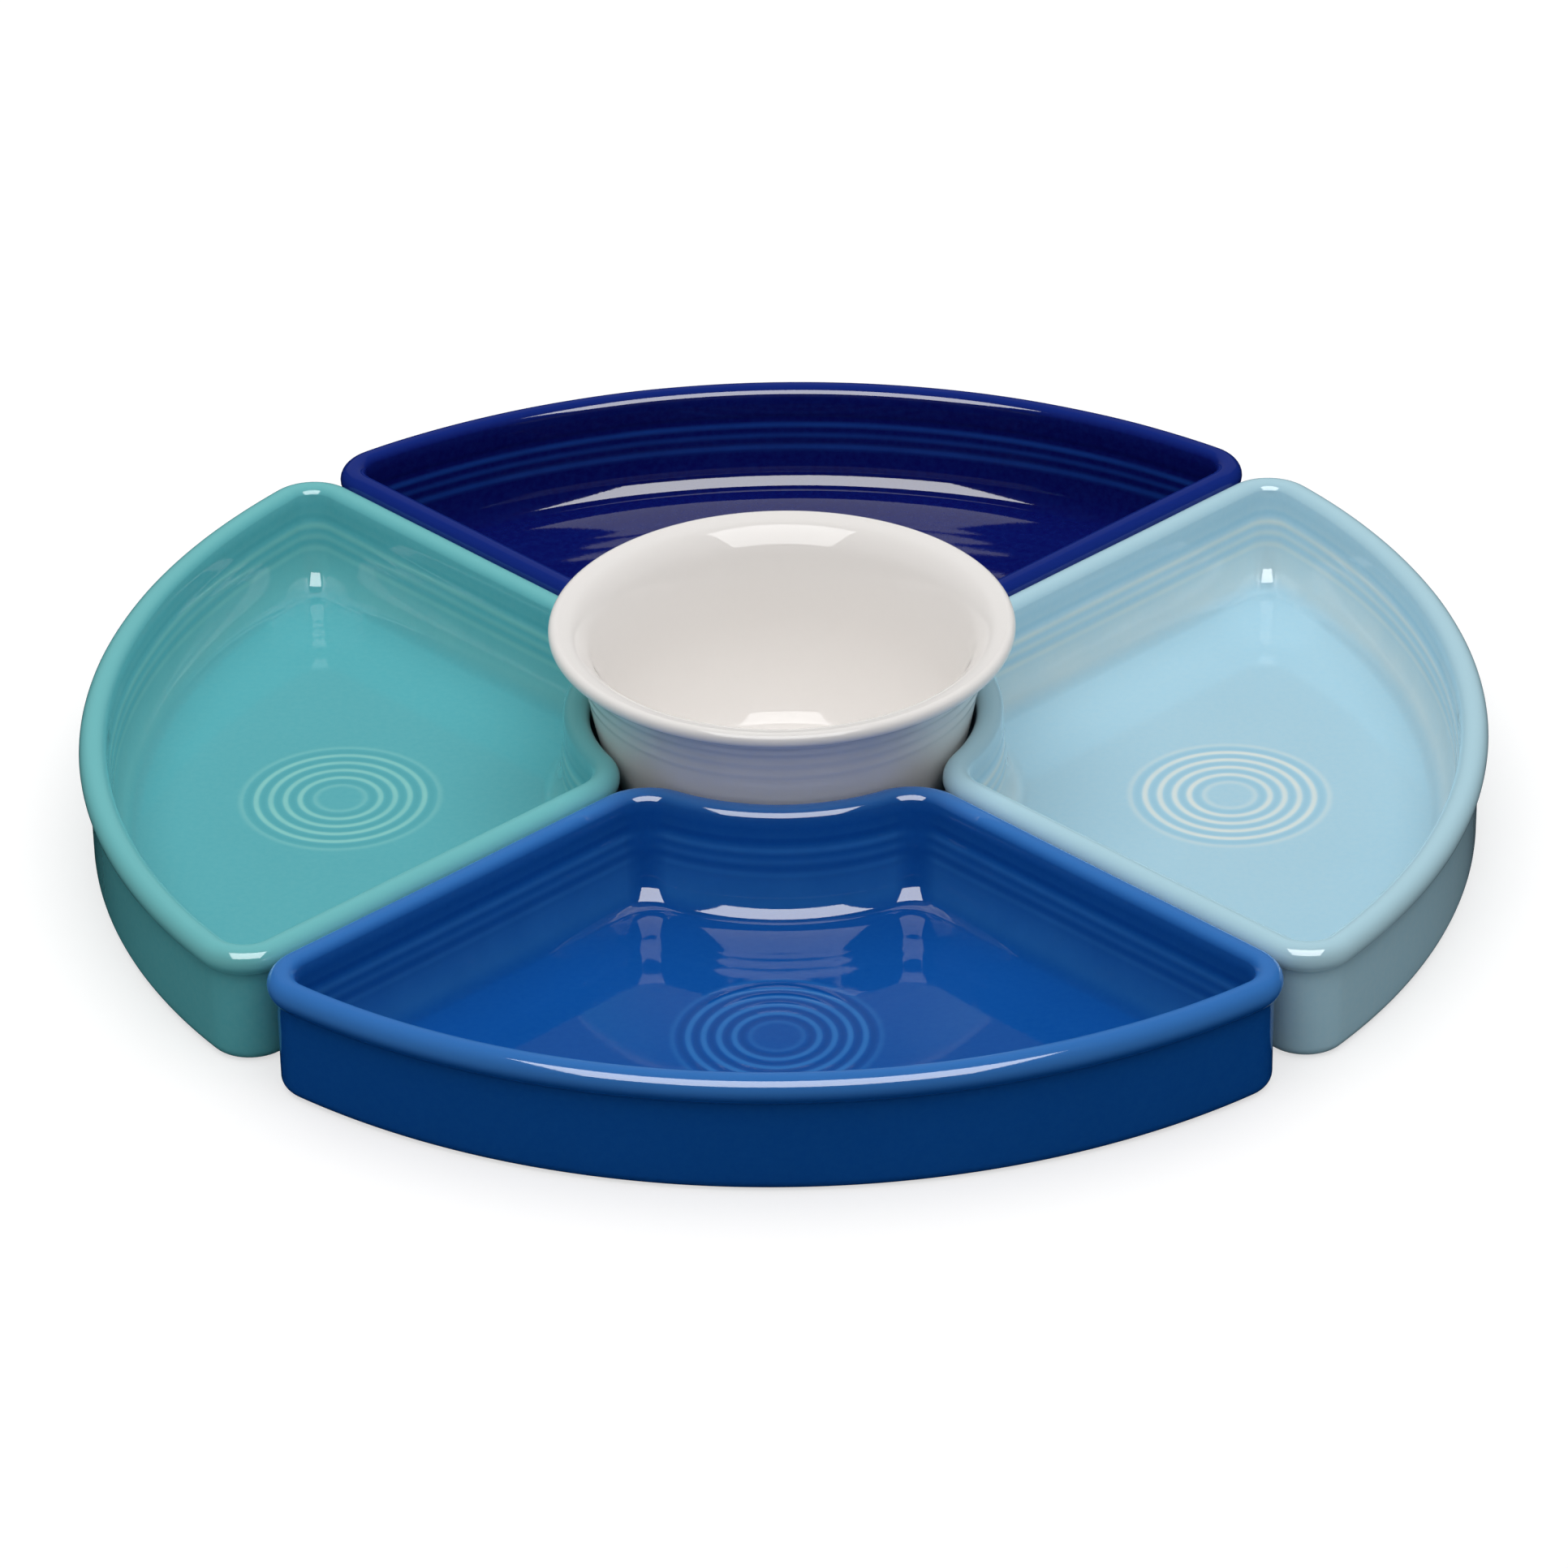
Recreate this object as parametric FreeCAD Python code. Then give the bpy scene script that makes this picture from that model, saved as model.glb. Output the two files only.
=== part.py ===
import FreeCAD, Part
import math
import os

V = FreeCAD.Vector

# ---------------------------------------------------------------- driving sizes (mm)
SET_RADIUS = 240.0        # centre of the set to the outermost point of a tray rim
TRAY_HEIGHT = 43.0        # table to the top of a tray rim
OUTER_ARC = 254.0         # radius of a tray's long outer arc
INNER_ARC = 66.0          # radius of the hollow arc that goes round the bowl
SIDE_GAP = 1.6            # clear gap between the rims of two neighbouring trays
CORNER_OUT = 18.0         # plan radius of the two outer corners, at the rim
CORNER_IN = 22.0          # plan radius of the two inner corners, at the rim
BEAD = 5.0                # radius of the rolled rim
SKIRT = 3.0               # how far the outer wall stands back from the rim
EDGE_ROUND = 4.0          # rounding where the outer wall meets the foot
WALL_IN = 9.4             # rim edge to the inner wall
FLOOR_Z = 4.8             # top of the floor
COVE = 12.0               # size of the rounded corner between wall and floor
COVE_CORNER_OUT = 5.0     # plan radius of the floor's outer corners
COVE_CORNER_IN = 6.5      # plan radius of the floor's inner corners
COVE_STEPS = 7            # sections used along the cove
FOOT_WIDTH = 13.0         # rim edge to the inner edge of the foot ring
FOOT_DEPTH = 1.2          # depth of the recess inside the foot ring
RIDGE = 3.0               # section radius of a wall ridge
RIDGE_PROUD = 0.5         # how far a wall ridge stands out of the wall
RIDGE_TOP = 28.2          # height of the uppermost ridge
RIDGE_STEP = 4.3          # spacing of the ridges
RIDGES = 3
RING_CENTRE = 153.0       # centre of the floor rings, from the centre of the set
RING_FIRST = 13.9         # crest radius of the smallest floor ring
RING_STEP = 5.05          # spacing of the floor rings
RINGS = 4
RING = 2.0                # section radius of a floor ring
RING_PROUD = 0.4          # how far a floor ring stands out of the floor

BOWL_RIM = 79.4           # radius of the bowl over its rim
BOWL_HEIGHT = 74.8        # table to the top of the bowl
BOWL_BEAD = 2.7           # radius of the edge of the bowl's lip
BOWL_FOOT = 49.0          # outside radius of the bowl's foot
BOWL_FOOT_IN = 43.5       # inside radius of the bowl's foot
BOWL_FOOT_DEPTH = 1.5     # depth of the recess under the bowl
BOWL_FLOOR = 5.0          # height of the inside of the bowl at its centre
BOWL_RIDGE = 2.4          # section radius of a ridge under the bowl's lip
BOWL_RIDGE_PROUD = 0.35   # how far such a ridge stands out
BOWL_RIDGE_TOP = 62.5     # height of the uppermost such ridge
BOWL_RIDGE_STEP = 5.0     # spacing of those ridges

ROOT_HALF = math.sqrt(0.5)
ALONG = (ROOT_HALF, -ROOT_HALF)       # direction of the right-hand side wall, going out
INWARD = (-ROOT_HALF, -ROOT_HALF)     # from that wall into the tray


# ---------------------------------------------------------------- plan outline of a tray
def corner(inset, radius, on_outer_arc):
    """Centre of a corner arc on the right-hand side, and its two tangent points."""
    off = SIDE_GAP / 2.0 + inset + radius
    qx = INWARD[0] * off
    qy = INWARD[1] * off
    if on_outer_arc:
        cy = OUTER_ARC - SET_RADIUS
        big = OUTER_ARC - inset
        reach = big - radius
    else:
        cy = 0.0
        big = INNER_ARC + inset
        reach = big + radius
    wx = qx
    wy = qy - cy
    dot = wx * ALONG[0] + wy * ALONG[1]
    t = -dot + math.sqrt(dot * dot - (wx * wx + wy * wy - reach * reach))
    px = qx + t * ALONG[0]
    py = qy + t * ALONG[1]
    length = math.hypot(px, py - cy)
    on_arc = (px / length * big, cy + (py - cy) / length * big)
    on_side = (px - INWARD[0] * radius, py - INWARD[1] * radius)
    return (px, py), on_arc, on_side


def mirror(p):
    return (-p[0], p[1])


def segments(inset, r_out, r_in):
    """The eight pieces of the outline, in order, as (kind, start, end, centre, middle)."""
    c_out, arc_out, side_out = corner(inset, r_out, True)
    c_in, arc_in, side_in = corner(inset, r_in, False)
    cy = OUTER_ARC - SET_RADIUS
    far = (0.0, cy - (OUTER_ARC - inset))
    near = (0.0, -(INNER_ARC + inset))

    def bulge(c, a, b, r):
        mx = (a[0] + b[0]) / 2.0 - c[0]
        my = (a[1] + b[1]) / 2.0 - c[1]
        m = math.hypot(mx, my)
        return (c[0] + mx / m * r, c[1] + my / m * r)

    m_out = bulge(c_out, arc_out, side_out, r_out)
    m_in = bulge(c_in, side_in, arc_in, r_in)
    return [
        ("arc", mirror(arc_out), arc_out, (0.0, cy), far),
        ("arc", arc_out, side_out, c_out, m_out),
        ("line", side_out, side_in, None, None),
        ("arc", side_in, arc_in, c_in, m_in),
        ("arc", arc_in, mirror(arc_in), (0.0, 0.0), near),
        ("arc", mirror(arc_in), mirror(side_in), mirror(c_in), mirror(m_in)),
        ("line", mirror(side_in), mirror(side_out), None, None),
        ("arc", mirror(side_out), mirror(arc_out), mirror(c_out), mirror(m_out)),
    ]


def outline(inset, z, r_out=None, r_in=None):
    """Closed wire of the outline, set in from the rim edge."""
    if r_out is None:
        r_out = CORNER_OUT - inset
    if r_in is None:
        r_in = CORNER_IN - inset
    edges = []
    for kind, a, b, centre, mid in segments(inset, r_out, r_in):
        if kind == "line":
            edges.append(Part.makeLine(V(a[0], a[1], z), V(b[0], b[1], z)))
        else:
            arc = Part.Arc(V(a[0], a[1], z), V(mid[0], mid[1], z), V(b[0], b[1], z))
            edges.append(arc.toShape())
    return Part.Wire(edges)


def prism(inset, z0, z1):
    return Part.Face(outline(inset, z0)).extrude(V(0, 0, z1 - z0))


def tube(inset, z, radius):
    """Round bar that follows the outline."""
    pieces = []
    for kind, a, b, centre, mid in segments(inset, CORNER_OUT - inset, CORNER_IN - inset):
        start = V(a[0], a[1], z)
        if kind == "line":
            run = V(b[0] - a[0], b[1] - a[1], 0)
            disc = Part.Face(Part.Wire(Part.makeCircle(radius, start, run)))
            pieces.append(disc.extrude(run))
            continue
        ra = V(a[0] - centre[0], a[1] - centre[1], 0)
        rb = V(b[0] - centre[0], b[1] - centre[1], 0)
        turn = ra.cross(rb).z
        angle = math.degrees(ra.getAngle(rb))
        if turn < 0:
            angle = -angle
        disc = Part.Face(Part.Wire(Part.makeCircle(radius, start, V(-ra.y, ra.x, 0))))
        pieces.append(disc.revolve(V(centre[0], centre[1], z), V(0, 0, 1), angle))
    return pieces[0].multiFuse(pieces[1:])


def cove():
    """Lower part of the hollow: a quarter-ellipse that narrows down to the floor."""
    wires = []
    start_out = CORNER_OUT - WALL_IN
    start_in = CORNER_IN - WALL_IN
    for i in range(COVE_STEPS + 1):
        a = math.pi / 2.0 * i / COVE_STEPS
        inset = WALL_IN + COVE * (1.0 - math.cos(a))
        z = FLOOR_Z + COVE * (1.0 - math.sin(a))
        blend = 1.0 - math.cos(a)
        r_out = start_out + (COVE_CORNER_OUT - start_out) * blend
        r_in = start_in + (COVE_CORNER_IN - start_in) * blend
        wires.append(outline(inset, z, r_out, r_in))
    return Part.makeLoft(wires, True, False)


def make_tray():
    mid = TRAY_HEIGHT - BEAD
    body = prism(SKIRT, 0.0, mid)
    low = []
    for edge in body.Edges:
        if edge.BoundBox.ZMax < 0.01:
            low.append(edge)
    body = body.makeFillet(EDGE_ROUND, low)
    body = body.fuse(tube(BEAD, mid, BEAD))
    body = body.cut(prism(WALL_IN, FLOOR_Z + COVE, TRAY_HEIGHT + 5.0))
    body = body.cut(cove())
    for i in range(RIDGES):
        z = RIDGE_TOP - RIDGE_STEP * i
        body = body.fuse(tube(WALL_IN + RIDGE_PROUD - RIDGE, z, RIDGE))
    for i in range(RINGS):
        r = RING_FIRST + RING_STEP * i
        at = V(0, -RING_CENTRE, FLOOR_Z + RING_PROUD - RING)
        body = body.fuse(Part.makeTorus(r, RING, at))
    body = body.cut(prism(FOOT_WIDTH, -1.0, FOOT_DEPTH))
    return body.removeSplitter()


# ---------------------------------------------------------------- dip bowl
def spline(points):
    curve = Part.BSplineCurve()
    curve.interpolate([V(r, 0, z) for r, z in points])
    return curve.toShape()


def radius_at(points, z):
    """Radius of a profile, given by its points from the bottom up, at a height."""
    for (r0, z0), (r1, z1) in zip(points[:-1], points[1:]):
        if z0 <= z <= z1:
            return r0 + (r1 - r0) * (z - z0) / (z1 - z0)


def make_bowl():
    bead_r = BOWL_RIM - BOWL_BEAD
    bead_z = BOWL_HEIGHT - BOWL_BEAD
    under = math.radians(60.0)
    lip_under = (bead_r + BOWL_BEAD * math.cos(under), bead_z - BOWL_BEAD * math.sin(under))
    outside = [
        (BOWL_FOOT + 0.8, 3.6),
        (54.2, 11.0),
        (58.9, 20.0),
        (62.3, 29.0),
        (64.3, 37.0),
        (65.9, 45.0),
        (67.2, 52.5),
        (69.0, 59.5),
        (71.6, 65.0),
        (75.2, 68.6),
        lip_under,
    ]
    inside = [
        (bead_r, BOWL_HEIGHT),
        (71.5, 73.1),
        (66.9, 68.2),
        (64.0, 62.0),
        (61.4, 54.0),
        (59.5, 46.0),
        (57.9, 38.0),
        (56.0, 30.5),
        (53.0, 21.0),
        (48.6, 11.0),
        (44.0, 6.6),
        (36.0, BOWL_FLOOR + 0.1),
        (0.0, BOWL_FLOOR),
    ]
    foot = [
        (0.0, BOWL_FOOT_DEPTH),
        (BOWL_FOOT_IN - 1.0, BOWL_FOOT_DEPTH),
        (BOWL_FOOT_IN, 0.0),
        (BOWL_FOOT - 0.8, 0.0),
        (BOWL_FOOT, 0.8),
        (BOWL_FOOT + 0.8, 3.6),
    ]
    edges = []
    for a, b in zip(foot[:-1], foot[1:]):
        edges.append(Part.makeLine(V(a[0], 0, a[1]), V(b[0], 0, b[1])))
    edges.append(spline(outside))
    top = V(bead_r, 0, BOWL_HEIGHT)
    edges.append(Part.Arc(V(lip_under[0], 0, lip_under[1]), V(BOWL_RIM, 0, bead_z), top).toShape())
    edges.append(spline(inside))
    edges.append(Part.makeLine(V(0, 0, BOWL_FLOOR), V(0, 0, BOWL_FOOT_DEPTH)))
    section = Part.Face(Part.Wire(edges))
    bowl = section.revolve(V(0, 0, 0), V(0, 0, 1), 360)
    for i in range(RIDGES):
        z = BOWL_RIDGE_TOP - BOWL_RIDGE_STEP * i
        r = radius_at(outside, z) + BOWL_RIDGE_PROUD - BOWL_RIDGE
        bowl = bowl.fuse(Part.makeTorus(r, BOWL_RIDGE, V(0, 0, z)))
    return bowl.removeSplitter()


# ---------------------------------------------------------------- the five pieces
os.makedirs("parts", exist_ok=True)

tray = make_tray()
for name, angle in (
    ("front_tray", 0.0),
    ("right_tray", 90.0),
    ("back_tray", 180.0),
    ("left_tray", 270.0),
):
    piece = tray.copy()
    piece.rotate(V(0, 0, 0), V(0, 0, 1), angle)
    piece.exportStep("parts/" + name + ".step")

make_bowl().exportStep("parts/dip_bowl.step")
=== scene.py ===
import math

import bpy
from mathutils import Matrix, Vector, noise


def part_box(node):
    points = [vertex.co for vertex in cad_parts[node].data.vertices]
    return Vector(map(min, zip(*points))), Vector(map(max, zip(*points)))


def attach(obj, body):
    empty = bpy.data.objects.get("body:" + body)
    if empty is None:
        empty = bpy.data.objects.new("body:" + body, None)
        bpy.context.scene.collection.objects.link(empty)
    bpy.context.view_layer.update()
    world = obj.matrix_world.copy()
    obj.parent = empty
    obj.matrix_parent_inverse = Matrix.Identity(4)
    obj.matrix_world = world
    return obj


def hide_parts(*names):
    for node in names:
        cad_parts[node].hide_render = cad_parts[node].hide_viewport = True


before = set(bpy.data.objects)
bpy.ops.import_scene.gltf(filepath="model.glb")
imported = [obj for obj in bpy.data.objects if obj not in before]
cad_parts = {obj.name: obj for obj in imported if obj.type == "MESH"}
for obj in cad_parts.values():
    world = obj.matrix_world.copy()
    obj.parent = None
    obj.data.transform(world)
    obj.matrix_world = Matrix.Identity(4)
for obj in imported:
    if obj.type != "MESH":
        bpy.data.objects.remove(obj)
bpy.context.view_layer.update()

MM = 0.001

# ---------------------------------------------------------------- sizes (metres)
tray_low, tray_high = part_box("front_tray")
bowl_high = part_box("dip_bowl")[1]

SET_RADIUS = -tray_low.y            # centre of the set to the outermost point of a tray
TRAY_TOP = tray_high.z              # table to the top of a tray's rim
OUTER_ARC = SET_RADIUS + 14 * MM    # radius of a tray's long outer arc
INNER_ARC = 66 * MM                 # radius of the hollow arc round the bowl
SIDE_GAP = 1.6 * MM                 # between the rims of two trays
CORNER_OUT = 18 * MM                # plan radius of the outer corners at the rim
CORNER_IN = 22 * MM                 # plan radius of the inner corners at the rim
BEAD = 5 * MM                       # radius of the rolled rim
SKIRT = 3 * MM                      # outer wall stands back from the rim by this
CREASE = 1.2 * MM                   # glaze fillet in the crease under the rim
EDGE_ROUND = 4 * MM                 # rounding between the outer wall and the foot
WALL_IN = 9.4 * MM                  # rim edge to the inner wall
FLOOR_Z = 4.8 * MM                  # top of the tray's floor
COVE = 8.8 * MM                     # rounding between the inner wall and the floor, across
COVE_HEIGHT = 17 * MM               # and up the wall
FLOOR_CORNER_OUT = 5 * MM           # plan radius of the floor's corners
FLOOR_CORNER_IN = 11.5 * MM
FOOT_WIDTH = 13 * MM                # rim edge to the inside of the foot ring
FOOT_DEPTH = 1.2 * MM
RIDGES = (                          # height and relief of the inner wall's ridges
    (28.2 * MM, 0.5 * MM),
    (23.9 * MM, 0.35 * MM),
    (19.6 * MM, 0.35 * MM),
)
WALL_STEP = sum(proud for _, proud in RIDGES)   # the wall comes in by this over the ridges
RIDGE_SLOPE = 3.6 * MM              # height of the sloping face above a ridge's crest
RIDGE_CREST = 2.0 * MM              # half the width of the paler line along its crest
RING_CENTRE = 153 * MM              # centre of the floor rings, from the centre of the set
GROOVE_FIRST = 11.375 * MM          # radius of the smallest groove between the floor rings
RING_STEP = 5.05 * MM
GROOVES = 5
GROOVE_DEPTH = 0.03 * MM            # slight: the rings show mostly by their glaze
RING_PROUD = 0.03 * MM
RING_CREST = 2.1 * MM               # half the width of the paler line along a ring's crest
RING_FAINT = 0.35                   # share of the innermost and outermost crests
RING_FIELD = 38 * MM                # the rings and the plain floor meet here
TRAY_WAVER = 0.2 * MM               # unevenness of the fired trays

BOWL_RIM = bowl_high.x              # radius over the bowl's rim
BOWL_TOP = bowl_high.z
BOWL_BEAD = 2.7 * MM                # radius of the edge of the bowl's lip
BOWL_WAVER = 0.1 * MM
WAVER_RISE = 8 * MM                 # the unevenness comes in over this height, so the feet stay flat

ROOT_HALF = math.sqrt(0.5)


# ---------------------------------------------------------------- plan outline of a tray
# faces along the outer arc, the hollow arc, a straight side and a corner
ARC_STEPS = 96
HOLLOW_STEPS = 40
SIDE_STEPS = 28
CORNER_STEPS = 14


def corner(inset, radius, on_outer_arc):
    """Centre of a right-hand corner of a tray that points to -Y, and its ends on the arc and the side."""
    off = SIDE_GAP / 2 + inset + radius
    along = Vector((ROOT_HALF, -ROOT_HALF))
    inward = Vector((-ROOT_HALF, -ROOT_HALF))
    foot = inward * off
    hub = Vector((0, OUTER_ARC - SET_RADIUS)) if on_outer_arc else Vector((0, 0))
    big = OUTER_ARC - inset if on_outer_arc else INNER_ARC + inset
    reach = big - radius if on_outer_arc else big + radius
    w = foot - hub
    dot = w.dot(along)
    centre = foot + along * (-dot + math.sqrt(dot * dot - (w.dot(w) - reach * reach)))
    on_arc = hub + (centre - hub).normalized() * big
    return centre, on_arc, centre - inward * radius


def arc_points(centre, a, b, steps):
    """Points from a towards b about centre, the short way round, without b."""
    start = math.atan2(a.y - centre.y, a.x - centre.x)
    turn = math.atan2(b.y - centre.y, b.x - centre.x) - start
    turn = (turn + math.pi) % (2 * math.pi) - math.pi
    r = (a - centre).length
    pts = []
    for i in range(steps):
        t = start + turn * i / steps
        pts.append(Vector((centre.x + r * math.cos(t), centre.y + r * math.sin(t))))
    return pts


def flip(p):
    return Vector((-p.x, p.y))


def outline(inset, r_out, r_in):
    """Closed loop of points round a tray, set in from the edge of its rim."""
    c_out, arc_out, side_out = corner(inset, r_out, True)
    c_in, arc_in, side_in = corner(inset, r_in, False)
    hub = Vector((0, OUTER_ARC - SET_RADIUS))
    side = [side_out.lerp(side_in, i / SIDE_STEPS) for i in range(SIDE_STEPS)]
    back = [flip(side_in).lerp(flip(side_out), i / SIDE_STEPS) for i in range(SIDE_STEPS)]
    return (
        arc_points(hub, flip(arc_out), arc_out, ARC_STEPS)
        + arc_points(c_out, arc_out, side_out, CORNER_STEPS)
        + side
        + arc_points(c_in, side_in, arc_in, CORNER_STEPS)
        + arc_points(Vector((0, 0)), arc_in, flip(arc_in), HOLLOW_STEPS)
        + arc_points(flip(c_in), flip(arc_in), flip(side_in), CORNER_STEPS)
        + back
        + arc_points(flip(c_out), flip(side_out), flip(arc_out), CORNER_STEPS)
    )


def crest_strength():
    """How strong the ridges are at each point of the outline: they fade out in the inner corners."""
    fade = [1 - math.sin(math.pi * i / CORNER_STEPS) for i in range(CORNER_STEPS)]
    before = [1.0] * (ARC_STEPS + CORNER_STEPS + SIDE_STEPS)
    after = [1.0] * (SIDE_STEPS + CORNER_STEPS)
    return before + fade + [1.0] * HOLLOW_STEPS + fade + after


# ---------------------------------------------------------------- section of a tray's wall
def bump(x, centre, half):
    """Smooth bump, 1 at centre and 0 from half away."""
    t = abs(x - centre) / half
    return 0.5 + 0.5 * math.cos(math.pi * t) if t < 1 else 0.0


def ease(x):
    """Smooth step from 0 to 1."""
    x = min(max(x, 0.0), 1.0)
    return x * x * (3 - 2 * x)


def ridge_relief(z):
    """How far the inner wall stands in at a height: it comes in by a step over every ridge."""
    return sum(proud * ease((ridge_z + RIDGE_SLOPE - z) / RIDGE_SLOPE) for ridge_z, proud in RIDGES)


def corner_relief(z):
    """The same for the inner corners, which have no ridges: one long slope."""
    top = RIDGES[0][0] + RIDGE_SLOPE
    foot = FLOOR_Z + COVE_HEIGHT
    return ridge_relief(foot) * ease((top - z) / (top - foot))


def wall_glaze(z, wall_painted_light):
    """How thin (+) or deep (-) the glaze lies on the inner wall at a height, plus painted light.
    It is thin on the ridges' crests and deep above them; the painted light pales the whole wall towards the
    thin colour, most below the ridges."""
    below_ridges = ease((RIDGES[-1][0] - z) / (3 * MM))
    above_floor = ease((z - FLOOR_Z) / (5 * MM))
    below_rim = ease((TRAY_TOP - BEAD - z) / (5 * MM))
    # painted light: the inner wall is paled towards the thin colour, most below the ridges, by a share given
    # per tray
    thin = wall_painted_light * (0.35 + 0.65 * below_ridges) * above_floor * below_rim
    for ridge_z, proud in RIDGES:
        share = proud / RIDGES[0][1]
        thin += 0.95 * share * bump(z, ridge_z, RIDGE_CREST)
        thin -= 0.4 * share * bump(z, ridge_z + RIDGE_SLOPE, RIDGE_CREST)
    return thin


def wall_section(wall_painted_light):
    """Levels from the inside of the foot, up the outer wall, over the rim and down to the floor.
    Each is (inset, z, blend to the floor's corner radii, ridge relief, thinness of the glaze with painted
    light on the inner wall, bare clay, share of the painted sheen over the rim)."""
    rows = []
    mid = TRAY_TOP - BEAD
    rows.append((FOOT_WIDTH, FOOT_DEPTH, 0, 0, 0, 0, 0))
    rows.append((FOOT_WIDTH - 0.3 * MM, 0.6 * MM, 0, 0, 0, 0, 0))
    rows.append((FOOT_WIDTH - 0.5 * MM, 0.3 * MM, 0, 0, 0, 1, 0))
    rows.append((FOOT_WIDTH - 0.9 * MM, 0, 0, 0, 0, 1, 0))
    steps = 10
    for i in range(steps + 1):
        a = math.pi / 2 * i / steps
        inset = SKIRT + EDGE_ROUND * (1 - math.sin(a))
        z = EDGE_ROUND * (1 - math.cos(a))
        rows.append((inset, z, 0, 0, 0, 1 if i <= 1 else 0, 0))
    # outer wall, a fillet in the crease, then the rolled rim
    reach = BEAD + CREASE
    drop = math.sqrt(reach ** 2 - (BEAD - SKIRT + CREASE) ** 2)
    crease_z = mid - drop
    steps = 10
    for i in range(1, steps + 1):
        z = EDGE_ROUND + (crease_z - EDGE_ROUND) * i / steps
        rows.append((SKIRT, z, 0, 0, 0, 0, 0))
    end = math.atan2(drop, BEAD - SKIRT + CREASE)
    steps = 5
    for i in range(1, steps + 1):
        a = end * i / steps
        inset = SKIRT - CREASE + CREASE * math.cos(a)
        rows.append((inset, crease_z + CREASE * math.sin(a), 0, 0, -0.5, 0, 0))
    lip_end = math.radians(150)
    steps = 32
    for i in range(1, steps + 1):
        a = -end + (lip_end + end) * i / steps
        # share of the painted sheen over the top of the rolled rim, where the glaze also thins
        share = ease((math.degrees(a) + 30) / 50) * ease((165 - math.degrees(a)) / 60)
        rows.append((BEAD - BEAD * math.cos(a), mid + BEAD * math.sin(a), 0, 0, 0, 0, share))
    # inner wall with its ridges
    wall_top = mid - 1.5 * MM
    cove_top = FLOOR_Z + COVE_HEIGHT
    steps = 44
    for i in range(steps + 1):
        z = wall_top + (cove_top - wall_top) * i / steps
        rows.append((WALL_IN, z, 0, ridge_relief(z), wall_glaze(z, wall_painted_light), 0, 0))
    foot_in = WALL_IN + ridge_relief(cove_top)
    steps = 30
    for i in range(1, steps + 1):
        a = math.pi / 2 * i / steps
        f = 1 - math.cos(a)
        z = FLOOR_Z + COVE_HEIGHT * (1 - math.sin(a))
        rows.append((foot_in + COVE * f, z, f, 0, wall_glaze(z, wall_painted_light), 0, 0))
    return rows


def waver(p, amount):
    """Small unevenness of a fired pot, slow and less slow."""
    offsets = (Vector((0, 0, 0)), Vector((9, 3, 5)), Vector((2, 8, 7)))
    total = Vector((0, 0, 0))
    for pitch, share in ((11, 0.6), (32, 0.4)):
        total += share * Vector([noise.noise(p * pitch + offset) for offset in offsets])
    return total * amount


def ring_relief(r):
    """Relief of the floor at a distance from the rings' centre, and how thin (+) or deep (-) its glaze is."""
    z = 0.0
    thin = 0.0
    for k in range(GROOVES):
        b = bump(r, GROOVE_FIRST + RING_STEP * k, RING_STEP / 2)
        z -= GROOVE_DEPTH * b
        thin -= 0.8 * b
    for k in range(GROOVES + 1):
        share = RING_FAINT if k in (0, GROOVES) else 1.0
        crest = GROOVE_FIRST + RING_STEP * (k - 0.5)
        z += RING_PROUD * share * bump(r, crest, RING_STEP / 2)
        thin += 1.2 * share * bump(r, crest, RING_CREST)
    return z, max(-1.0, min(thin, 1.0))


class Builder:
    """Collects rings of vertices and the faces between them."""

    def __init__(self):
        self.verts = []
        self.thin = []
        self.bare = []
        self.rim = []
        self.faces = []

    def point(self, co, thin=0.0, bare=0.0, rim=0.0):
        self.verts.append(co)
        self.thin.append(thin)
        self.bare.append(bare)
        self.rim.append(rim)
        return len(self.verts) - 1

    def ring(self, coords, thin=0.0, bare=0.0):
        return [self.point(co, thin, bare) for co in coords]

    def bridge(self, a, b):
        n = len(a)
        for i in range(n):
            j = (i + 1) % n
            self.faces.append((a[i], a[j], b[j], b[i]))

    def cap(self, ring, centre):
        n = len(ring)
        for i in range(n):
            self.faces.append((ring[i], ring[(i + 1) % n], centre))

    def mesh(self, name):
        mesh = bpy.data.meshes.new(name)
        mesh.from_pydata([tuple(v) for v in self.verts], [], self.faces)
        for key, values in (("thin", self.thin), ("bare", self.bare), ("rim", self.rim)):
            layer = mesh.attributes.new(key, "FLOAT", "POINT")
            layer.data.foreach_set("value", values)
        mesh.polygons.foreach_set("use_smooth", [True] * len(mesh.polygons))
        mesh.validate()
        mesh.update()
        return mesh


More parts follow.
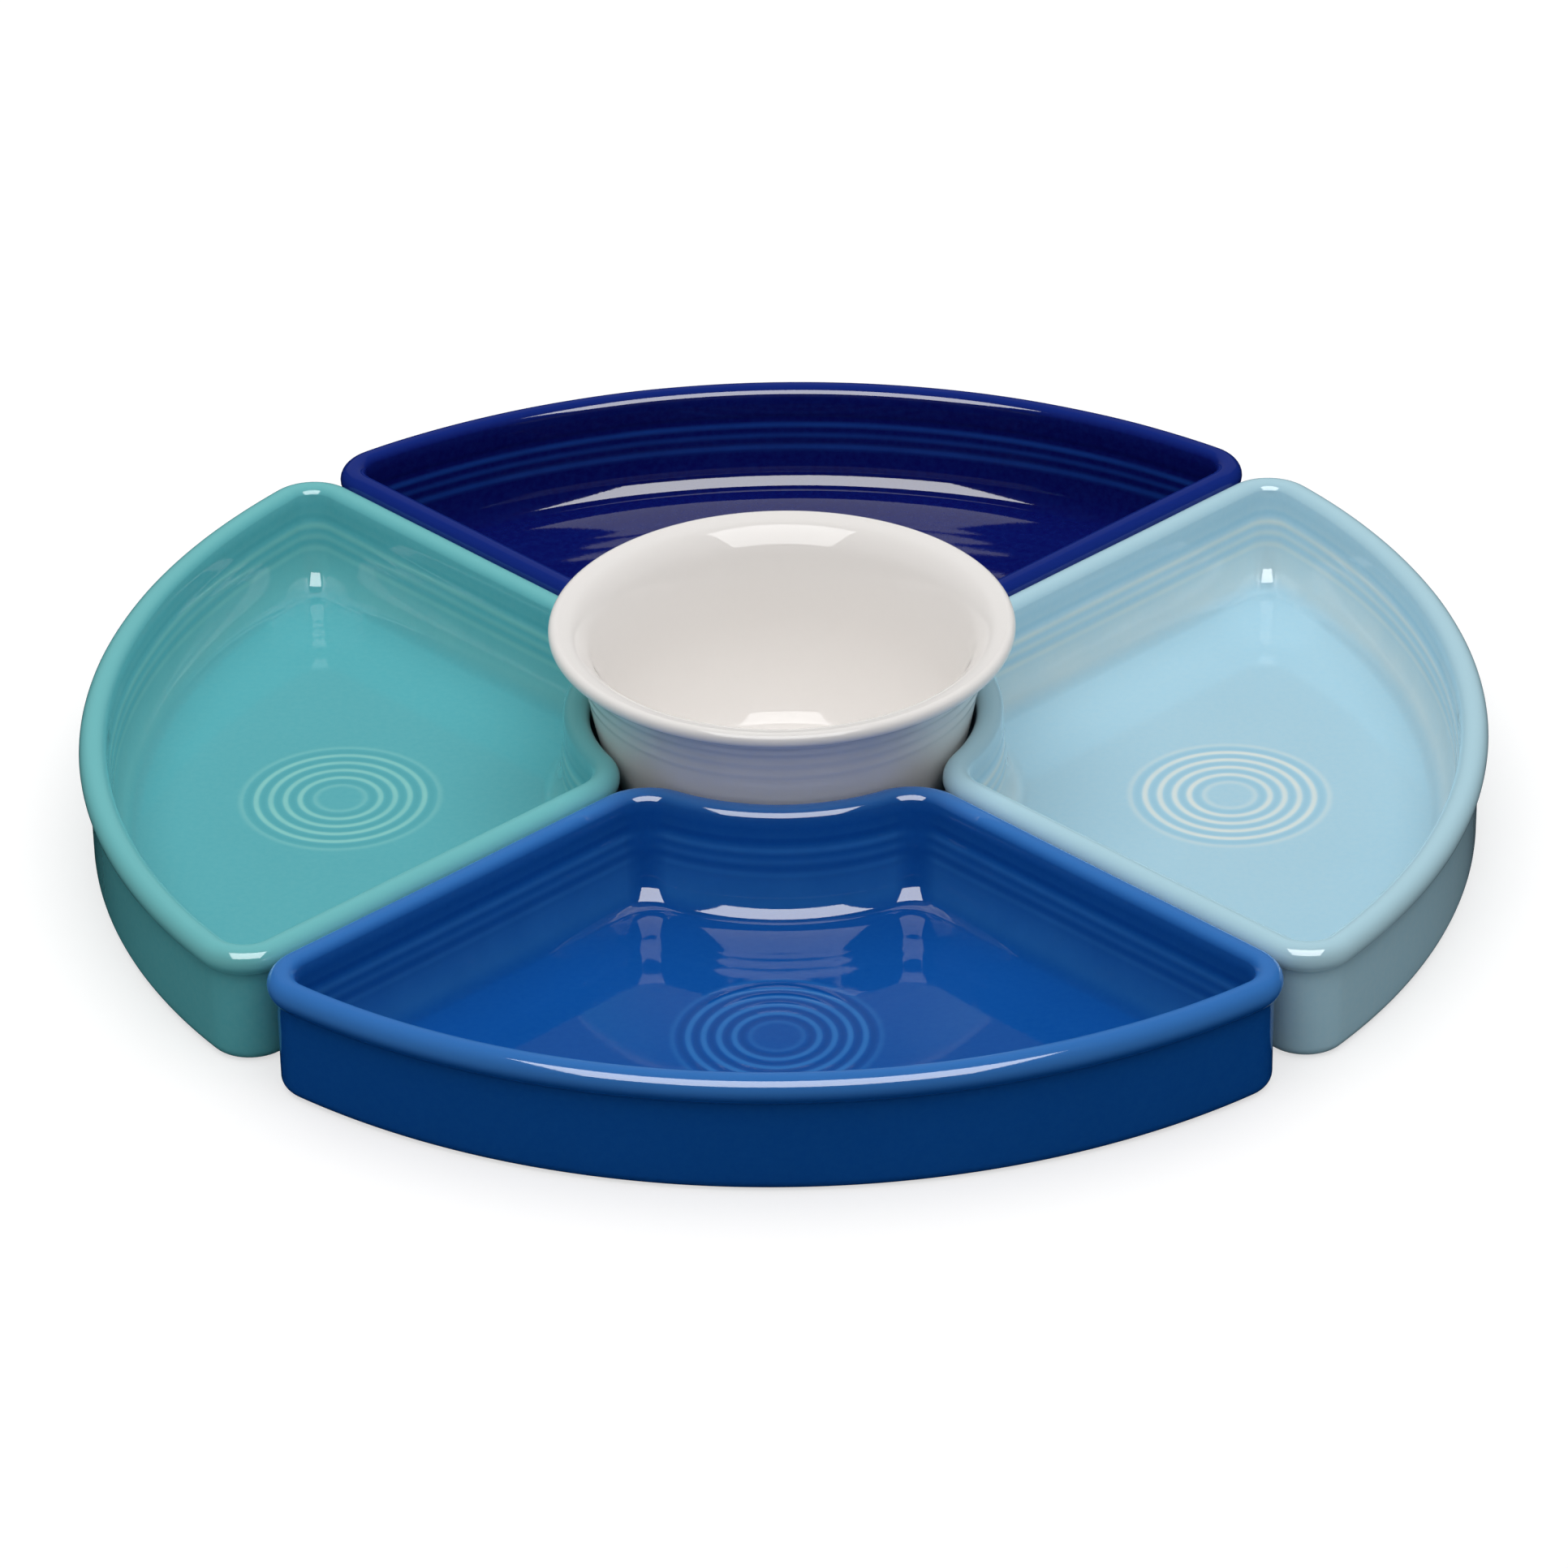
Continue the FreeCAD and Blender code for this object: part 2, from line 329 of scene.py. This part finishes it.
def tray_mesh(name, turn, wall_painted_light, seed):
    """One tray as a closed mesh, turned about the centre of the set."""
    b = Builder()
    spin = Matrix.Rotation(turn, 3, "Z")
    strength = crest_strength()

    def place(x, y, z):
        p = Vector((x, y, z))
        p += waver(p + Vector((seed, 0, 0)), TRAY_WAVER) * min(1.0, z / WAVER_RISE)
        return spin @ p

    loops = []
    rings = []
    for inset, z, blend, relief, thin, bare, rim in wall_section(wall_painted_light):
        parallel = min(inset + relief, WALL_IN + WALL_STEP)
        r_out = (CORNER_OUT - parallel) * (1 - blend) + FLOOR_CORNER_OUT * blend
        r_in = (CORNER_IN - parallel) * (1 - blend) + FLOOR_CORNER_IN * blend
        loop = outline(inset + relief, r_out, r_in)
        if relief:
            plain = outline(inset + corner_relief(z), r_out, r_in)
            loop = [p.lerp(q, s) for p, q, s in zip(plain, loop, strength)]
        loops.append(loop)
        rings.append([b.point(place(p.x, p.y, z), thin * s, bare, rim) for p, s in zip(loop, strength)])
    for low, high in zip(rings[:-1], rings[1:]):
        b.bridge(low, high)

    hub = Vector((0, -RING_CENTRE))

    def fill(loop, ring, z, radii, relief):
        """Closes a loop with rings that turn from its outline into circles about the hub."""
        last = ring
        circle = [(p - hub).normalized() for p in loop]
        steps = 8
        for i in range(1, steps + 1):
            pts = [p.lerp(hub + d * radii[0], i / steps) for p, d in zip(loop, circle)]
            nxt = b.ring([place(p.x, p.y, z) for p in pts])
            b.bridge(last, nxt)
            last = nxt
        for r in radii[1:]:
            rise, thin = ring_relief(r) if relief else (0.0, 0.0)
            pts = [hub + d * r for d in circle]
            nxt = b.ring([place(p.x, p.y, z + rise) for p in pts], thin)
            b.bridge(last, nxt)
            last = nxt
        b.cap(last, b.point(place(hub.x, hub.y, z)))

    steps = 90
    radii = [RING_FIELD * (1 - i / steps) for i in range(steps)]
    fill(loops[-1], rings[-1], FLOOR_Z, radii, True)

    # underside, inside the foot ring
    start = len(b.faces)
    fill(loops[0], rings[0], FOOT_DEPTH, [RING_FIELD, RING_FIELD / 2], False)
    for i in range(start, len(b.faces)):
        b.faces[i] = tuple(reversed(b.faces[i]))
    return b.mesh(name)


# ---------------------------------------------------------------- dip bowl
# radius and height along the bowl's section, in millimetres
BOWL_FOOT = ((0.4, 1.5), (20, 1.5), (42.2, 1.5), (42.8, 1.0), (43.2, 0.3), (43.7, 0),
             (48.0, 0), (48.7, 0.3), (49.1, 1.0), (49.8, 3.6))
BOWL_OUTSIDE = ((49.8, 3.6), (54.2, 11), (58.9, 20), (62.3, 29), (64.3, 37), (65.9, 45), (67.2, 52.5),
                (69.0, 59.5), (71.6, 65), (75.2, 68.6))
BOWL_INSIDE = ((71.5, 73.1), (66.9, 68.2), (64.0, 62), (61.4, 54), (59.5, 46), (57.9, 38), (56.0, 30.5),
               (53.0, 21), (48.6, 11), (44.0, 6.6), (36.0, 5.1), (20.0, 5.0), (0.4, 5.0))
BOWL_RIDGES = (62.5, 57.5, 52.5)    # heights of the soft ridges under the lip
BOWL_RIDGE_HALF = 2.2               # half their width
BOWL_RIDGE_PROUD = 0.35


def smooth_curve(points, steps):
    """Catmull-Rom curve through points, as (x, y) pairs."""
    pts = [points[0]] + list(points) + [points[-1]]
    out = []
    for i in range(1, len(pts) - 2):
        p0, p1, p2, p3 = pts[i - 1], pts[i], pts[i + 1], pts[i + 2]
        for k in range(steps):
            t = k / steps
            out.append(tuple(
                0.5 * (2 * b1 + (c1 - a1) * t + (2 * a1 - 5 * b1 + 4 * c1 - d1) * t * t
                       + (3 * b1 - a1 - 3 * c1 + d1) * t ** 3)
                for a1, b1, c1, d1 in zip(p0, p1, p2, p3)
            ))
    out.append(tuple(points[-1]))
    return out


def bowl_section():
    """(radius, z, thin, bare) from the middle of the underside, round to the middle of the inside."""
    rows = []
    for r, z in BOWL_FOOT:
        rows.append((r * MM, z * MM, 0, 1 if z < 0.5 else 0))
    bead_r = BOWL_RIM - BOWL_BEAD
    bead_z = BOWL_TOP - BOWL_BEAD
    lip = []
    steps = 12
    for i in range(steps + 1):
        a = math.radians(-60 + 150 * i / steps)
        lip.append(((bead_r + BOWL_BEAD * math.cos(a)) / MM, (bead_z + BOWL_BEAD * math.sin(a)) / MM))
    profile = smooth_curve(list(BOWL_OUTSIDE) + lip[:1], 9)[1:]
    for r, z in profile:
        lift = 0.0
        for ridge_z in BOWL_RIDGES:
            lift += bump(z, ridge_z, BOWL_RIDGE_HALF)
        rows.append(((r + BOWL_RIDGE_PROUD * lift) * MM, z * MM, 0.4 * lift, 0))
    for r, z in lip[1:-1]:
        rows.append((r * MM, z * MM, 0.3, 0))
    for r, z in smooth_curve(lip[-1:] + list(BOWL_INSIDE), 10):
        rows.append((r * MM, z * MM, 0, 0))
    return rows


def bowl_mesh(name):
    b = Builder()
    sides = 192

    def place(r, i, z):
        t = 2 * math.pi * i / sides
        p = Vector((r * math.cos(t), r * math.sin(t), z))
        return p + waver(p, BOWL_WAVER) * min(1.0, z / WAVER_RISE)

    rings = []
    for r, z, thin, bare in bowl_section():
        rings.append(b.ring([place(r, i, z) for i in range(sides)], thin, bare))
    for low, high in zip(rings[:-1], rings[1:]):
        b.bridge(low, high)
    b.cap(rings[-1], b.point(Vector((0, 0, BOWL_INSIDE[-1][1] * MM))))
    b.cap(list(reversed(rings[0])), b.point(Vector((0, 0, BOWL_FOOT[0][1] * MM))))
    return b.mesh(name)


# ---------------------------------------------------------------- materials
BARE_CLAY = (0.72, 0.66, 0.57)
BARE_CLAY_ROUGHNESS = 0.8


def glaze(name, base, thin_glaze_and_painted_light_colour, pooled, rim_sheen_colour, ior, roughness=0.05, peel=0.012 * MM):
    """Glossy fired glaze: it pales where it lies thin and darkens where it pools. Its paler colour is also
    painted light on a tray's inner wall, and its rim colour is a painted sheen over the rim, where the glaze
    also thins.
    Peel is the depth of its faint orange peel."""
    mat = bpy.data.materials.new(name)
    mat.use_nodes = True
    tree = mat.node_tree
    nodes = tree.nodes
    nodes.clear()
    out = nodes.new("ShaderNodeOutputMaterial")
    shader = nodes.new("ShaderNodeBsdfPrincipled")
    tree.links.new(shader.outputs["BSDF"], out.inputs["Surface"])
    coords = nodes.new("ShaderNodeTexCoord")

    def noise_node(scale, detail=3.0, rough=0.5):
        n = nodes.new("ShaderNodeTexNoise")
        n.inputs["Scale"].default_value = scale
        n.inputs["Detail"].default_value = detail
        n.inputs["Roughness"].default_value = rough
        tree.links.new(coords.outputs["Object"], n.inputs["Vector"])
        return n.outputs["Fac"]

    def mix(fac, a, b):
        m = nodes.new("ShaderNodeMix")
        m.data_type = "RGBA"
        for socket, value in ((m.inputs["Factor"], fac), (m.inputs["A"], a), (m.inputs["B"], b)):
            if isinstance(value, tuple):
                socket.default_value = (*value, 1)
            else:
                tree.links.new(value, socket)
        return m.outputs["Result"]

    def remap(value, lo, hi, to_lo, to_hi):
        n = nodes.new("ShaderNodeMapRange")
        n.inputs["From Min"].default_value = lo
        n.inputs["From Max"].default_value = hi
        n.inputs["To Min"].default_value = to_lo
        n.inputs["To Max"].default_value = to_hi
        tree.links.new(value, n.inputs["Value"])
        return n.outputs["Result"]

    def attribute(key):
        n = nodes.new("ShaderNodeAttribute")
        n.attribute_name = key
        return n.outputs["Fac"]

    def maths(operation, a, b):
        n = nodes.new("ShaderNodeMath")
        n.operation = operation
        n.use_clamp = True
        tree.links.new(a, n.inputs[0])
        tree.links.new(b, n.inputs[1])
        return n.outputs["Value"]

    # slow drift of the glaze's thickness, then fine mottling
    colour = mix(remap(noise_node(14, 2), 0.3, 0.7, 0.0, 0.25), base, pooled)
    colour = mix(remap(noise_node(420, 4, 0.65), 0.35, 0.65, 0.0, 0.08), colour, thin_glaze_and_painted_light_colour)
    # the glaze pools in the hollows and breaks on the crests, more in some places than in others; on a tray's
    # inner wall the paler colour is also painted light
    thin = attribute("thin")
    colour = mix(remap(thin, 0, -1, 0, 1), colour, pooled)
    patch = remap(noise_node(60, 3, 0.6), 0.3, 0.7, 0.75, 1.0)
    colour = mix(maths("MULTIPLY", remap(thin, 0, 1, 0, 1), patch), colour, thin_glaze_and_painted_light_colour)
    # painted sheen over the top of the rim, where the glaze also thins
    colour = mix(attribute("rim"), colour, rim_sheen_colour)
    bare = attribute("bare")
    colour = mix(bare, colour, BARE_CLAY)
    tree.links.new(colour, shader.inputs["Base Color"])

    rough = remap(noise_node(90, 3), 0.3, 0.7, roughness * 0.7, roughness * 1.3)
    clay_rough = remap(bare, 0, 1, 0, BARE_CLAY_ROUGHNESS)
    tree.links.new(maths("MAXIMUM", rough, clay_rough), shader.inputs["Roughness"])

    # faint orange peel
    ripple = nodes.new("ShaderNodeBump")
    ripple.inputs["Strength"].default_value = 1.0
    ripple.inputs["Distance"].default_value = peel
    tree.links.new(noise_node(300, 2, 0.5), ripple.inputs["Height"])
    tree.links.new(ripple.outputs["Normal"], shader.inputs["Normal"])
    shader.inputs["IOR"].default_value = ior
    return mat


# Slot of a piece's glaze, its colour, its colour where it lies thin (on a tray's inner wall also painted
# light), where it pools, its painted sheen over the rim (where the glaze also thins), and its IOR. The bowl's
# is smoother than the trays': its roughness and orange peel follow.
GLAZES = {
    "front_tray": (
        "mid_blue_glaze",
        (0.004, 0.075, 0.330),
        (0.025, 0.165, 0.480),
        (0.002, 0.058, 0.270),
        (0.040, 0.180, 0.520),
        1.58,
    ),
    "right_tray": (
        "sky_blue_glaze",
        (0.420, 0.660, 0.780),
        (0.740, 0.815, 0.785),
        (0.340, 0.600, 0.745),
        (0.460, 0.695, 0.790),
        1.58,
    ),
    "back_tray": (
        "cobalt_glaze",
        (0.003, 0.004, 0.100),
        (0.012, 0.070, 0.380),
        (0.001, 0.002, 0.050),
        (0.008, 0.024, 0.200),
        1.58,
    ),
    "left_tray": (
        "turquoise_glaze",
        (0.112, 0.450, 0.500),
        (0.265, 0.635, 0.605),
        (0.095, 0.410, 0.460),
        (0.180, 0.540, 0.560),
        1.58,
    ),
    "dip_bowl": (
        "white_glaze",
        (0.865, 0.838, 0.815),
        (0.890, 0.870, 0.845),
        (0.840, 0.805, 0.775),
        (0.865, 0.838, 0.815),
        1.34,
        0.02,
        0.003 * MM,
    ),
}

# turn of a tray about the centre of the set in degrees, and how much painted light pales its inner wall, most
# low down
TRAYS = {
    "front_tray": (0.0, 0.6),
    "right_tray": (90.0, 0.55),
    "back_tray": (180.0, 0.0),
    "left_tray": (270.0, 0.35),
}
SEED_STEP = 3.7                     # between the trays, in the pattern of their unevenness

for index, (node, (slot, *look)) in enumerate(GLAZES.items()):
    piece_name = node + "_glazed"
    if node in TRAYS:
        turn, wall_painted_light = TRAYS[node]
        piece_mesh = tray_mesh(piece_name, math.radians(turn), wall_painted_light, index * SEED_STEP)
    else:
        piece_mesh = bowl_mesh(piece_name)
    piece_mesh.materials.append(glaze(slot, *look))
    piece = bpy.data.objects.new(piece_name, piece_mesh)
    bpy.context.scene.collection.objects.link(piece)
    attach(piece, node)
    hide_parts(node)


# ---------------------------------------------------------------- floor
# radius and height of a floor's rings, in metres: flat, or turned up far away into a backdrop
FLAT = ((6, 0), (3, 0), (1, 0))
TURNED_UP = ((10, 9), (10, 0.9), (9.7, 0.2), (9, 0)) + FLAT
FLOOR_SIDES = 96

FLOOR_GLOW = 0.62                   # keeps the floor white round the set
FAR_GLOW = 1.0                      # and where the light has fallen off
# painted shade: no glow under the bowl, so the floor there and the gaps beside it stay dark
PAINTED_SHADE_UNDER_BOWL = (BOWL_RIM - 10 * MM, BOWL_RIM + 50 * MM)   # the glow comes in between these radii
FAR_FLOOR = (0.6, 2.2)              # and grows to the far glow between these


def stage_floor(name, z, profile, albedo, glow, far_glow):
    """Matt round floor with a glow of its own, none of it under the bowl: the darker disc there is painted
    shade that keeps the gaps dark.
    """
    floor = Builder()
    turns = [2 * math.pi * i / FLOOR_SIDES for i in range(FLOOR_SIDES)]
    rings = []
    for r, rise in profile:
        rings.append(floor.ring([(r * math.cos(t), r * math.sin(t), z + rise) for t in turns]))
    for outer, inner in zip(rings[:-1], rings[1:]):
        floor.bridge(outer, inner)
    floor.cap(rings[-1], floor.point((0, 0, z)))
    mesh = floor.mesh(name)
    obj = bpy.data.objects.new(name, mesh)
    bpy.context.scene.collection.objects.link(obj)

    mat = bpy.data.materials.new(name)
    mat.use_nodes = True
    nodes = mat.node_tree.nodes
    links = mat.node_tree.links
    shader = nodes["Principled BSDF"]
    shader.inputs["Base Color"].default_value = (albedo, albedo, albedo, 1)
    shader.inputs["Roughness"].default_value = 0.9
    shader.inputs["Specular IOR Level"].default_value = 0.0
    shader.inputs["Emission Color"].default_value = (1, 1, 1, 1)
    coords = nodes.new("ShaderNodeTexCoord")
    distance = nodes.new("ShaderNodeVectorMath")
    distance.operation = "LENGTH"
    links.new(coords.outputs["Object"], distance.inputs[0])
    total = nodes.new("ShaderNodeMath")
    steps = ((PAINTED_SHADE_UNDER_BOWL, glow, "SMOOTHSTEP"), (FAR_FLOOR, far_glow - glow, "LINEAR"))
    for i, ((start, end), strength, interpolation) in enumerate(steps):
        step = nodes.new("ShaderNodeMapRange")
        step.interpolation_type = interpolation
        step.inputs["From Min"].default_value = start
        step.inputs["From Max"].default_value = end
        step.inputs["To Min"].default_value = 0.0
        step.inputs["To Max"].default_value = strength
        links.new(distance.outputs["Value"], step.inputs["Value"])
        links.new(step.outputs["Result"], total.inputs[i])
    links.new(total.outputs["Value"], shader.inputs["Emission Strength"])
    mesh.materials.append(mat)

    obj.visible_glossy = False
    obj.visible_shadow = False
    return obj


# the floor that is seen, and a darker one just below that only bounces light on to the pieces
pale_floor = stage_floor("pale_floor", 0.0, TURNED_UP, 0.45, FLOOR_GLOW, FAR_GLOW)
pale_floor.visible_diffuse = False
bounce_floor = stage_floor("bounce_floor", -0.5 * MM, FLAT, 0.36, 0.0, 0.0)
bounce_floor.visible_camera = False


# ---------------------------------------------------------------- light
def panel(name, position, target, size, radiance, glossy):
    """Soft rectangular light of a given size and radiance, for reflections only or for matt light only."""
    width, height = size
    data = bpy.data.lights.new(name, "AREA")
    data.shape = "RECTANGLE"
    data.size = width
    data.size_y = height
    data.energy = radiance * width * height * math.pi
    obj = bpy.data.objects.new(name, data)
    bpy.context.scene.collection.objects.link(obj)
    obj.location = position
    obj.rotation_euler = (Vector(target) - Vector(position)).to_track_quat("-Z", "Y").to_euler()
    obj.visible_camera = False
    obj.visible_glossy = glossy
    obj.visible_diffuse = not glossy


KEY_TILT = math.radians(33)         # from straight above the set towards the viewer
KEY_REACH = 3.4
KEY_SIZE = (0.97 * KEY_REACH, 0.79 * KEY_REACH)
key_place = (0, -KEY_REACH * math.sin(KEY_TILT), KEY_REACH * math.cos(KEY_TILT))
panel("key_panel", key_place, (0, 0, 0), KEY_SIZE, 8.3, True)
panel("key_fill", key_place, (0, 0, 0), KEY_SIZE, 1.6, False)
panel("top_panel", (0, 0.1, 2.2), (0, 0.1, 0), (3.2, 3.2), 1.65, False)
panel("backdrop_panel", (0, 3.2, 1.9), (0, 0, 0.2), (5.0, 2.6), 0.1, True)

world = bpy.data.worlds.new("studio")
bpy.context.scene.world = world
world.use_nodes = True
background = world.node_tree.nodes["Background"]
background.inputs["Color"].default_value = (1, 1, 1, 1)
background.inputs["Strength"].default_value = 0.25
world.cycles_visibility.glossy = False
world.cycles_visibility.camera = False


# ---------------------------------------------------------------- camera
ELEVATION = math.radians(30.56)
AZIMUTH = math.radians(1.38)
ROLL = math.radians(-0.91)
DISTANCE = 2.455
LENS = 164.38                       # millimetres, for a sensor 36 mm wide
AIM = Vector((0, 0, 22 * MM))       # about half a tray's height above the middle of the set
AIM_LEFT = 0.11 * MM                # the view's middle lies this far to the left of that point
AIM_DOWN = 10.47 * MM               # and this far below it

back = Vector((
    math.sin(AZIMUTH) * math.cos(ELEVATION),
    -math.cos(AZIMUTH) * math.cos(ELEVATION),
    math.sin(ELEVATION),
))
right = (-back).cross(Vector((0, 0, 1))).normalized()
up = right.cross(-back)
target = AIM - right * AIM_LEFT - up * AIM_DOWN

camera_data = bpy.data.cameras.new("camera")
camera_data.sensor_width = 36
camera_data.lens = LENS
camera = bpy.data.objects.new("camera", camera_data)
bpy.context.scene.collection.objects.link(camera)
camera.location = target + back * DISTANCE
rolled_right = right * math.cos(ROLL) + up * math.sin(ROLL)
rolled_up = up * math.cos(ROLL) - right * math.sin(ROLL)
camera.rotation_euler = Matrix((rolled_right, rolled_up, back)).transposed().to_euler()
bpy.context.scene.camera = camera
bpy.context.scene.view_settings.view_transform = "Standard"
